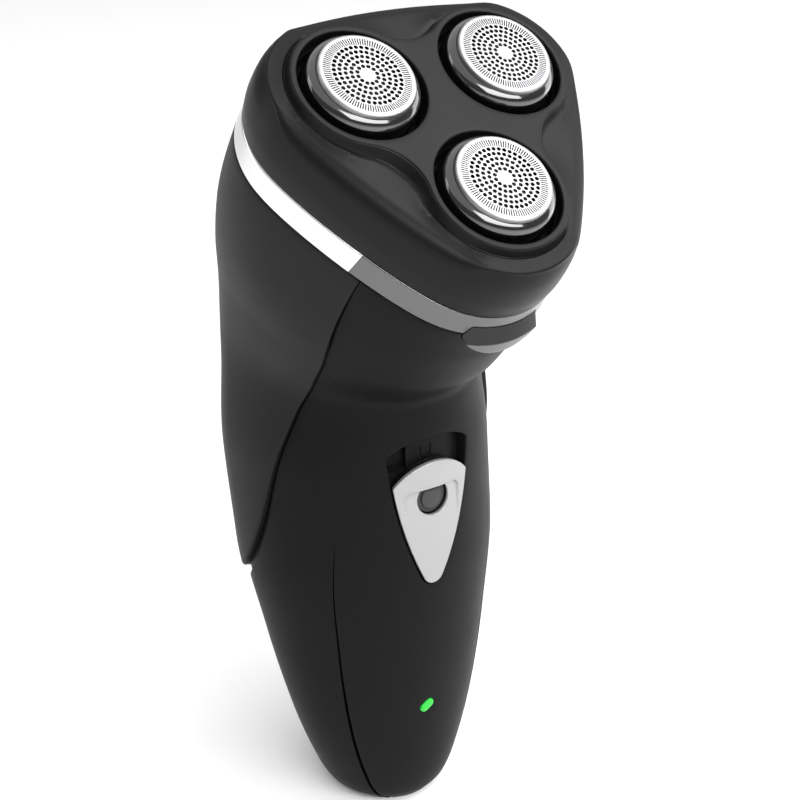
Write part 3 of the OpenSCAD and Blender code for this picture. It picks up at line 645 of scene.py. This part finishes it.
def rear_inset(p):
    """The rear shell is lower within the groove round the grip and under the grip."""
    q = p * STRETCH
    within = inside(q, [recess_loop])
    d = distance(q, [recess * STRETCH])
    return np.where(within, np.where(d < 0.045, 0.3, 0.62), edge_round(d, 0.28))


def plate(loops, z0, z1, spacing=1.0, r=0.2):
    """A flat closed plate."""
    v, f, flat = triangulate(loops, spacing, ROUND * r)
    top = z1 - edge_round(distance(v, [closed(loop) for loop in flat]), r)
    return thick(f, np.column_stack([v, top]), np.column_stack([v, np.full(len(v), z0)]))


inlet_loop = pill(2.3, 4.25, 25) + [0, 5]


def base_part(a0, a1, *holes):
    """The flat of the foot between two ring angles."""
    flat = even(case(np.linspace(a0, a1, 90), np.zeros(90), 1.96)[:, :2], 0.5, True)
    v, f = plate([flat * [1, -1], *[hole * [1, -1] for hole in holes]], -2.0, 0.0)
    return v * [1, -1, -1], f


piece("case_front", [front_part, base_part(seam[0, 0], 540 - seam[0, 0])], "case_black", "handle", "front_shell")
piece("case_rear", [on_case([rear_loop], 1.05, rear_inset, lambda p: WALL, r=0.28, edges=rear_edges,
                            seams=[(rear_seam, SEAM_R), (right_seam, SEAM_R)], lines=lip),
                    base_part(180 - rear_seam[0, 0], rear_seam[0, 0], inlet_loop)],
      "case_black", "handle", "rear_shell")

grip_top = along_top(grip_edge[-1, 0], 180 - grip_edge[-1, 0], 150)
grip_loop = np.concatenate([grip_edge, grip_top, mirrored(grip_edge, 90)[:-1]])


def grip_inset(p):
    return -np.clip((TOP - 0.12 - p[:, 1]) / 1.5, 0, 1)


grip_sides = np.concatenate([mirrored(grip_edge, 90)[:-1], grip_edge])
piece("grip", [on_case([grip_loop], 1.0, grip_inset, lambda p: 0.56, r=0.45, edges=[grip_top],
                       seams=[(grip_sides, GRIP_R)])], "grip_black", "handle", "rear_grip")

# ---------------------------------------------------------------- power switch
seat_loop = counter_clockwise(shifted(counter_clockwise(even(SLOT, 0.6, True)), -1.2))
# The seat is lower to the left of this line
seat_step = np.array([[-4.8, z] for z in np.linspace(70, 94, 49)])


def seat_inset(p):
    return WALL + 0.06 + 1.5 * ((p[:, 0] < -4.83) & (p[:, 1] > 80.2))


def seat_mark():
    """The small U pressed into the seat."""
    path = np.array([[-1.2, 84.1], [-1.2, 83.0], *[[1.2 * math.cos(a), 83 + 1.2 * math.sin(a)]
                     for a in np.linspace(math.pi, 2 * math.pi, 13)[1:-1]], [1.2, 83.0], [1.2, 84.1]])
    ring = np.concatenate([shifted(path, 0.17, True), shifted(path, -0.17, True)[::-1]])
    return on_case([ring], 2.0, lambda p: WALL - 0.12, lambda p: WALL + 0.2, r=0.06, space="front")


seat_lines = [line[(line[:, 1] > 78.6) & (line[:, 1] < 86.5)] for line in (seat_step, seat_step - [0.06, 0])]
piece("switch_well", [on_case([seat_loop], 0.8, seat_inset, lambda p: seat_inset(p) + 0.8, r=0.05, lines=seat_lines,
                              space="front"), seat_mark()], "case_black", "handle", "switch_seat")

THUMB = rounded([[-5.5, 67.3, 0], [-6.3, 76.15, 1.7], [6.3, 76.15, 1.7], [5.5, 67.3, 0]], 0.3)
thumb_line = even(closed(THUMB)[1:-1], 0.35)
thumb_line = thumb_line[thumb_line[:, 1] > 67.5]


def slider_inset(p):
    """The slider has a fine line round a hollow for the thumb."""
    within = inside(p, [THUMB])
    d = distance(p, [thumb_line])
    fade = step((p[:, 1] - 67.7) / 7.5)
    groove = 0.32 * step((p[:, 1] - 67.5) / 4) * np.exp(-((d / 0.13) ** 2))
    return -0.5 + groove + np.where(within, 0.4 * fade * np.clip(d / 0.12, 0, 1), 0)


slider_v = on_case([even(slider_shape(), 0.35, True), lock_shape(0.15)], 0.6, slider_inset, lambda p: 0.25, r=0.14,
                   lines=[thumb_line, shifted(thumb_line, -0.12, True), shifted(thumb_line, 0.12, True)], space="front")
piece("switch_slider", [slider_v], "slider_silver", "power_slider", "power_slider")
piece("switch_carrier", [on_case([even(slider_shape(-0.12), 0.5, True), lock_shape(0.15)], 0.9, lambda p: 0.2,
                                 lambda p: 1.62, r=0.05, space="front")], "ring_black", "power_slider")

disc = circle(2.35, 48)
disc[:, 1] = LOCK_Z - 0.2 + np.minimum(1.75, disc[:, 1])
piece("lock_knob", [on_case([lock_shape(0.0)], 0.5, lambda p: 0.75, lambda p: 1.1, r=0.1, space="front"),
                    on_case([disc], 0.4, lambda p: 0.12 + 0.12 * step(1 - distance(p, [closed(disc)]) / 1.6),
                            lambda p: 0.9, r=0.25, space="front")], "inner_grey", "lock_button", "lock_button")

piece("led", [on_case([lamp_shape(0.0)], 0.3, lambda p: -0.12 - 0.12 * step(distance(p, [closed(lamp_shape())]) / 0.9),
                      lambda p: 1.6, r=0.3, space="front")], "led_green", "handle", "led_lens")


# ---------------------------------------------------------------- trim band
def band_size(n):
    """Corner radius and reach of the band's outline at level n."""
    return np.interp(n, [-21, -16], [17.95, 16.6]), np.interp(n, [-21, -16], [15.2, 16.4])


def band(steps, lean, lug=False):
    """Part of the band between the two angles in degrees that lean gives at each level."""
    rows = [(-21.0, 0.25), (-20.92, 0.1), (-20.78, 0.0)] + [(n, 0.0) for n in np.linspace(-20.4, -16.6, 7)] \
        + [(-16.3, 0.0), (-16.17, 0.08), (-16.1, 0.22), (-16.1, 2.2), (-21.0, 2.2)]
    grid = []
    for n, inset in rows:
        rc, rt = band_size(n)
        lo, hi = lean(n)
        a = np.radians(np.linspace(lo, hi, steps))
        xy = outline(a, rc, rt, inset)
        level = np.full(steps, n)
        if lug:
            near = (np.abs(xy[:, 0]) < 8.3) & (xy[:, 1] > 0)
            level = np.where(near, np.minimum(level, -17.95), level)
        if not lug:
            level = np.maximum(level, np.interp(np.abs(xy[:, 0]), [6.7, 7.5], [BUTTON_TOP + 0.1, -21.0]))
        grid.append(np.column_stack([xy, level]))
    n = len(rows)
    v = np.concatenate(grid)
    faces = [[j * steps + k, j * steps + k + 1, (j + 1) % n * steps + k + 1, (j + 1) % n * steps + k]
             for j in range(n) for k in range(steps - 1)]
    faces += [[j * steps for j in range(n)][::-1], [j * steps + steps - 1 for j in range(n)]]
    return from_head(v), faces


def joint_angle(n, gap):
    """Angle in degrees where the band's slanted joint is at level n, on the left."""
    rc, rt = band_size(n)
    goal = -15.6 - (n + 16) * 0.055 + gap
    return float(bisect(lambda a: outline(np.radians(a), rc, rt)[:, 1] > goal, [150.0], [265.0])[0])


HINGE_Y, HINGE_N = 26.8, -15.6


def barrel(x0, x1, r, steps=32):
    """A round bar across the head unit's hinge."""
    a = np.linspace(0, 2 * math.pi, steps, endpoint=False)
    rows = [(x0, r - 0.15), (x0 + 0.15, r), (x1 - 0.15, r), (x1, r - 0.15)]
    v = np.concatenate([np.stack([np.full(steps, x), HINGE_Y + q * np.cos(a), HINGE_N + q * np.sin(a)], 1)
                        for x, q in rows])
    return from_head(v), capped(len(rows), steps)


def block(x0, x1, y0, y1, n0, n1, chamfer=0.2):
    """A block in the head frame with its upright edges cut."""
    c = chamfer
    ring = [[x0 + c, y0], [x1 - c, y0], [x1, y0 + c], [x1, y1 - c],
            [x1 - c, y1], [x0 + c, y1], [x0, y1 - c], [x0, y0 + c]]
    v = np.array([[x, y, n] for n in (n0, n1) for x, y in ring])
    return from_head(v), capped(2, len(ring))


piece("band_rear", [band(520, lambda n: (180 - joint_angle(n, 0.04), joint_angle(n, 0.04)), lug=True),
                    barrel(-3, 3, 1.6), block(-3, 3, 25.4, 27.4, -20.9, -16.2)],
      "trim_silver", "handle", "trim_band_rear")
piece("band_front", [band(200, lambda n: (joint_angle(n, -0.04), 540 - joint_angle(n, -0.04)))],
      "trim_grey", "handle", "trim_band_front")

# ---------------------------------------------------------------- release button
# Rows of each facet and of the body behind it: share of the way down the facet, and how far it stands out
UPPER_FACET = [(0.0, -1.6), (0.0, -0.25), (0.05, -0.05), (0.95, 1.6), (1.0, 1.63), (1.0, -1.6)]
LOWER_FACET = [(0.0, -1.6), (0.0, 1.63), (0.04, 1.65), (0.94, 1.7), (1.0, 1.55), (1.0, -1.6)]


def facet(shape, upper):
    """One facet of the release button, with a body behind it."""
    cols = 61
    u = np.linspace(-1, 1, cols)
    rows = []
    for share, proud in shape:
        x = u * (6.6 + 0.75 * share if upper else 7.35 - 0.3 * share)
        n = BUTTON_TOP + (NOSE_N - BUTTON_TOP) * share + 0 * x
        if not upper:
            n = NOSE_N - 0.02 - 3.05 * (1 - (x / 7.45) ** 2) * share
        a = bisect(lambda b: outline(np.radians(b), BAND_RC + proud, BAND_RT)[:, 0] < x, np.full(cols, 225.0),
                   np.full(cols, 315.0))
        rows.append(np.column_stack([outline(np.radians(a), BAND_RC + proud, BAND_RT), n]))
    v = np.concatenate(rows)
    n = len(rows)
    faces = [[j * cols + k, (j + 1) % n * cols + k, (j + 1) % n * cols + k + 1, j * cols + k + 1]
             for j in range(n) for k in range(cols - 1)]
    faces += [[j * cols for j in range(n)], [j * cols + cols - 1 for j in range(n)][::-1]]
    return from_head(v), faces


piece("release_key", [facet(UPPER_FACET, True)], "button_grey", "release_button", "release_button", sharp=20)
piece("release_lip", [facet(LOWER_FACET, False)], "trim_grey", "release_button", sharp=20)

# ---------------------------------------------------------------- head shell
LEVELS = [-15.9, -12, -8, -5.5, -4.4, -3.5]
LEVEL_RC = [16.4, 16.2, 15.8, 15.5, 15.25, 15.0]
LEVEL_RT = [16.7, 17.3, 17.5, 17.25, 17.05, 16.9]
POCKET_R, PLATEAU_N, CEILING_N = 11.4, -2.3, -6.0
NECKS = np.radians([90.0, 210.0, 330.0])


def wall_outline(a, n, inset=0.0):
    """Outline of the head shell's wall at level n."""
    rc, rt = smooth_curve(n, LEVELS, LEVEL_RC), smooth_curve(n, LEVELS, LEVEL_RT)
    return outline(a, rc, rt, inset)


def neck(a):
    """1 in the middle of a neck between two lobes, 0 on the lobes, by the direction the wall faces."""
    return step((0.87 - lobe(a)[0]) / 0.296)


def rim_level(a):
    return -4.45 - 3.2 * neck(a)


def rim_radius(a):
    return 0.45 + 2.7 * neck(a)


def plateau_edge(r=12.6, reach=15.6):
    """The raised plateau: an arc round each shaving head, joined by hollow arcs at the necks."""
    half, near = PITCH * math.sin(math.pi / 3), PITCH * math.cos(math.pi / 3)
    p = reach - near
    rho = (half**2 + p * p - r * r) / (2 * r - 2 * p)
    pts = []
    for h in sorted(a % (2 * math.pi) for a in HEAD_ANGLES):
        c = PITCH * np.array([math.cos(h), math.sin(h)])
        hollow = [(reach + rho) * np.array([math.cos(h + s * math.pi / 3), math.sin(h + s * math.pi / 3)])
                  for s in (-1, 1)]
        a0, a1 = [math.atan2(*(q - c)[::-1]) for q in hollow]
        a0, a1 = a0 % (2 * math.pi), a1 % (2 * math.pi)
        a1 += 2 * math.pi if a1 < a0 else 0
        pts += [c + r * np.array([math.cos(a), math.sin(a)]) for a in np.linspace(a0, a1, 70)]
        b0 = math.atan2(*(c - hollow[1])[::-1])
        nxt = PITCH * np.array([math.cos(h + 2 * math.pi / 3), math.sin(h + 2 * math.pi / 3)])
        b1 = math.atan2(*(nxt - hollow[1])[::-1])
        while b1 > b0:
            b1 -= 2 * math.pi
        pts += [hollow[1] + rho * np.array([math.cos(a), math.sin(a)]) for a in np.linspace(b0, b1, 34)[1:-1]]
    return np.array(pts)


def polar_neck(xy):
    """1 in the middle of a neck, 0 on the lobes, by the direction from the head's centre."""
    a = np.arctan2(xy[:, 1], xy[:, 0])
    off = np.abs((a[:, None] - NECKS + math.pi) % (2 * math.pi) - math.pi).min(1)
    return step(1 - off / math.radians(34))


RIM_STEPS = 300
rim_a = np.linspace(0, 2 * math.pi, RIM_STEPS, endpoint=False)
rim_n, rim_r = rim_level(rim_a), rim_radius(rim_a)
shoulder = wall_outline(rim_a, rim_n, rim_r)
edge_q = counter_clockwise(even(plateau_edge(), 0.5, True))
wide_q = 0.4 + 1.0 * polar_neck(edge_q)


def top_level(xy):
    """Height of the head's top at points of the head plane."""
    within = inside(xy, [edge_q])
    d = distance(xy, [closed(edge_q)])
    nearness = polar_neck(xy)
    wide, foot_n = 0.4 + 1.0 * nearness, -3.75 - 0.75 * nearness
    rise = distance(xy, [closed(shoulder)])
    a = np.arctan2(xy[:, 1], xy[:, 0])
    nearest = nearest_rim(xy)
    out_n = rim_n[nearest] + rim_r[nearest]
    across = step(np.clip((d - wide) / np.maximum(d - wide + rise, 0.05), 0, 1))
    shelf = foot_n + (out_n - foot_n) * across
    groove = 0.28 * (1 - nearness) * np.exp(-(((d - wide - 0.12) / 0.22) ** 2))
    slope = PLATEAU_N + (foot_n - PLATEAU_N) * step(d / wide) ** 0.85
    top = np.where(within, PLATEAU_N - edge_round(d, 0.22) * 0.9, np.where(d < wide, np.minimum(slope, PLATEAU_N - 0.2),
                                                                         shelf - groove))
    for h in HEAD_ANGLES:
        r = np.linalg.norm(xy - PITCH * np.array([math.cos(h), math.sin(h)]), axis=1) - POCKET_R
        top = top - edge_round(np.maximum(r, 0), 0.3)
    return top


def index_of(points, among):
    """Index in among of each point."""
    return [int(np.linalg.norm(among - p, axis=1).argmin()) for p in points]


def nearest_rim(xy):
    """Index in shoulder of the point nearest to each point."""
    out = np.zeros(len(xy), int)
    for part in np.array_split(np.arange(len(xy)), len(xy) // 2000 + 1):
        out[part] = np.linalg.norm(xy[part][:, None] - shoulder, axis=2).argmin(1)
    return out


def head_shell():
    """The head shell as one closed mesh: its top, rounded rim, wall, and hollow underside with three pockets."""
    ring_a = np.radians(np.arange(0, 360, 4.0))
    pockets = [PITCH * np.array([math.cos(h), math.sin(h)])
               + POCKET_R * np.stack([np.cos(ring_a), np.sin(ring_a)], 1) for h in HEAD_ANGLES]
    lines = [closed(shifted(edge_q, d)) for d in (0.24, 0.15, 0.08, 0.02)]
    lines += [closed(shifted(edge_q, -wide_q * f)) for f in (0.02, 0.2, 0.4, 0.6, 0.8, 1.0)]
    lines += [closed(shifted(edge_q, -wide_q - d)) for d in (0.12, 0.28, 0.5)]
    for h in HEAD_ANGLES:
        c = PITCH * np.array([math.cos(h), math.sin(h)])
        lines += [closed(c + (POCKET_R + d) * np.stack([np.cos(ring_a), np.sin(ring_a)], 1))
                  for d in (0.03, 0.09, 0.18, 0.3)]
    v, f, flat = triangulate([shoulder, *pockets], 0.75, (0,), lines)
    # The rim and the pocket edges keep their own points, so the walls can be joined to them
    verts = [np.column_stack([v, top_level(v)])]
    rim = index_of(shoulder, v)
    verts[0][rim, 2] = rim_n + rim_r
    faces = f.tolist()
    count = len(v)

    def add(points):
        nonlocal count
        verts.append(points)
        count += len(points)
        return list(range(count - len(points), count))

    def bridge(upper, lower, flip=False):
        n = len(upper)
        for k in range(n):
            e = (k + 1) % n
            quad = [upper[k], lower[k], lower[e], upper[e]]
            faces.append(quad[::-1] if flip else quad)

    last = rim
    for f_ in np.linspace(0, 1, 9)[1:]:
        phi = math.pi / 2 * (1 - f_)
        ring = add(np.column_stack([wall_outline(rim_a, rim_n, rim_r * (1 - math.cos(phi))),
                                    rim_n + rim_r * math.sin(phi)]))
        bridge(last, ring)
        last = ring
    for f_ in np.linspace(0, 1, 22)[1:]:
        n = rim_n + (-15.65 - rim_n) * f_
        ring = add(np.column_stack([wall_outline(rim_a, n), n]))
        bridge(last, ring)
        last = ring
    for n, inset in ((-15.8, 0.08), (-15.88, 0.25)):
        ring = add(np.column_stack([wall_outline(rim_a, np.full(RIM_STEPS, -15.7), inset), np.full(RIM_STEPS, n)]))
        bridge(last, ring)
        last = ring
    inner = outline(rim_a, 14.2, 16.2)
    low = add(np.column_stack([inner, np.full(RIM_STEPS, -15.88)]))
    bridge(last, low)
    ceiling_xy = outline(rim_a, 13.4, 16.0)
    cv, cf, _ = triangulate([ceiling_xy, *pockets], 2.0, (0,))
    start = count
    add(np.column_stack([cv, np.full(len(cv), CEILING_N)]))
    faces.extend((cf[:, ::-1] + start).tolist())
    bend = add(np.column_stack([inner, np.full(RIM_STEPS, -8.5)]))
    bridge(low, bend)
    bridge(bend, [i + start for i in index_of(ceiling_xy, cv)])
    for loop in pockets:
        up = index_of(loop, v)
        down = [i + start for i in index_of(loop, cv)]
        mid = add(np.column_stack([loop, np.full(len(loop), -3.2)]))
        bridge(up, mid, True)
        bridge(mid, down, True)
    return from_head(np.concatenate(verts)), faces


head_parts = [head_shell()]
for h in (90, 210, 330):
    stub = post([(1.8, -8.35), (1.8, -6.0), (2.1, -5.4)])
    head_parts.append(moved(stub, lambda v, h=h: from_head(spin(v + [17.2, 0, 0], h))))
head_parts.append(moved(post([(3.2, -8.35), (3.2, -5.4)]), from_head))
head_parts += [barrel(-8, -3.25, 1.6), barrel(3.25, 8, 1.6), block(-8, -3.25, 24.2, 26.8, -15.9, -12.0),
               block(3.25, 8, 24.2, 26.8, -15.9, -12.0), block(-3, 3, -30.1, -28.7, -18.2, -7.0)]
piece("head_shell", head_parts, "head_grey", "shaving_unit", "head_frame")

# ---------------------------------------------------------------- shaving heads
HOLE_ROWS = [(1.81, 12), (2.84, 19), (3.87, 25), (4.88, 32), (5.86, 38)]
HOLE_R, SLOT_COUNT, SHEET_T = 0.4, 104, 0.14


def guard_sheet():
    """The steel disc with its round holes and radial slots, in its own frame."""
    rim = circle(8.2, 144)
    holes = []
    for row, (r, count) in enumerate(HOLE_ROWS):
        for k in range(count):
            a = 2 * math.pi * (k + 0.5 * (row % 2)) / count
            c = r * np.array([math.cos(a), math.sin(a)])
            holes.append(c + circle(HOLE_R, 10, a))
    for k in range(SLOT_COUNT):
        a = 2 * math.pi * k / SLOT_COUNT
        along, side = np.array([math.cos(a), math.sin(a)]), np.array([-math.sin(a), math.cos(a)])
        holes.append(np.array([along * r + side * w for r, w in ((6.42, -0.09), (7.7, -0.11), (7.76, 0), (7.7, 0.11),
                                                                (6.42, 0.09), (6.36, 0))]))
    v, f, _ = triangulate([rim, *holes], 1.2, (0,))
    return thick(f, np.column_stack([v, np.zeros(len(v))]), np.column_stack([v, np.full(len(v), -SHEET_T)]))


sheet_part = guard_sheet()
guard_rim = lathe([(8.2, -0.14), (8.2, 0), (8.34, -0.01), (8.47, -0.06), (8.55, -0.15), (8.6, -0.3), (8.6, -4.0),
                   (8.35, -4.0), (8.35, -0.5), (8.3, -0.3)][::-1])
arc = [(8.0 + 2.2 * math.sin(b), -2.85 + 2.2 * math.cos(b)) for b in np.linspace(0.36, math.pi / 2, 16)]
ring_part = lathe([(8.68, -1.3), (8.68, -0.86), *arc, (10.2, -6.0), (10.3, -6.3), (12.15, -7.0), (12.2, -7.1),
                   (12.1, -7.2), (9.2, -7.2), (9.2, -4.6), (8.66, -4.6)][::-1])
for name, degrees in HEADS.items():
    piece(f"guard_disc_{name}", [at_head(sheet_part, degrees), at_head(guard_rim, degrees)], "guard_steel",
          f"guard_{name}", f"guard_{name}", sharp=25)
    piece(f"guard_collar_{name}", [at_head(ring_part, degrees)], "ring_black", f"guard_{name}", f"guard_ring_{name}",
          sharp=40)

# ---------------------------------------------------------------- the CAD nodes that stay
KEPT = {
    # Painted shade: the retaining frame is nylon, but it takes this dark grey so that the gaps round the shaving heads
    # read as deep shade.
    "inner_grey": ["chamber_floor", "motor_mount", "battery_cradle", "switch_knob", "inlet_socket", "lock_wheel",
                   "retaining_frame"],
    "steel": ["motor_can", "battery_contacts", "slide_switch", "inlet_pins", "case_screws", "deck_screws", "hinge_pin"],
    # Painted shade: the cutters take the near-black colour so that the guard slots read as shade.
    "blade_steel": ["cutter_front", "cutter_left", "cutter_right"],
    "brass": ["motor_rotor", "pinion"],
    "nylon": ["gear_front", "gear_left", "gear_right", "spindle_front", "spindle_left", "spindle_right"],
    "board_green": ["circuit_board"],
    "cell_green": ["battery_cells"],
}
for slot, names in KEPT.items():
    for n in names:
        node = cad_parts[n]
        node.data.materials.clear()
        node.data.materials.append(MATERIALS[slot])

# ---------------------------------------------------------------- floor, light and camera
floor_mesh = bpy.data.meshes.new("floor")
floor_mesh.from_pydata([(-4, -4, 0), (4, -4, 0), (4, 4, 0), (-4, 4, 0)], [], [(0, 1, 2, 3)])
floor_mesh.materials.append(material("floor_white", (0.9, 0.9, 0.9), 0.9, gloss=0.0, grain=400, bump=0.0, tint=0.01))
floor = bpy.data.objects.new("floor", floor_mesh)
bpy.context.scene.collection.objects.link(floor)

world = bpy.data.worlds.new("studio")
world.use_nodes = True
world.node_tree.nodes["Background"].inputs["Color"].default_value = (1, 1, 1, 1)
world.node_tree.nodes["Background"].inputs["Strength"].default_value = 0.25
bpy.context.scene.world = world


def softbox(name, place, target, width, height, power):
    data = bpy.data.lights.new(name, "AREA")
    data.shape, data.size, data.size_y, data.energy = "RECTANGLE", width, height, power
    lamp = bpy.data.objects.new(name, data)
    lamp.location = place
    lamp.rotation_euler = (Vector(target) - Vector(place)).to_track_quat("-Z", "Y").to_euler()
    bpy.context.scene.collection.objects.link(lamp)


HEAD = (0, -0.022, 0.15)
softbox("key_top", (0.5, -0.25, 1.0), HEAD, 0.5, 0.5, 5)
softbox("card_front", (0.02, -0.67, 0.58), HEAD, 0.8, 0.4, 7)
softbox("rim_left", (-0.7, 0.5, 0.35), (0, 0, 0.1), 0.3, 0.8, 1.2)
softbox("rim_right", (0.75, -0.1, 0.25), (0, 0, 0.09), 0.3, 0.8, 2)
sun = bpy.data.lights.new("overhead", "SUN")
sun.energy, sun.angle = 1.7, math.radians(120)
sun_obj = bpy.data.objects.new("overhead", sun)
bpy.context.scene.collection.objects.link(sun_obj)

camera = bpy.data.cameras.new("camera")
camera.lens, camera.sensor_width = 72, 36
eye = bpy.data.objects.new("camera", camera)
eye.location = (-0.1528, -0.2336, 0.2209)
eye.rotation_euler = Vector((0.5005, 0.7520, -0.4288)).to_track_quat("-Z", "Y").to_euler()
bpy.context.scene.collection.objects.link(eye)
bpy.context.scene.camera = eye
bpy.context.scene.view_settings.view_transform = "Standard"
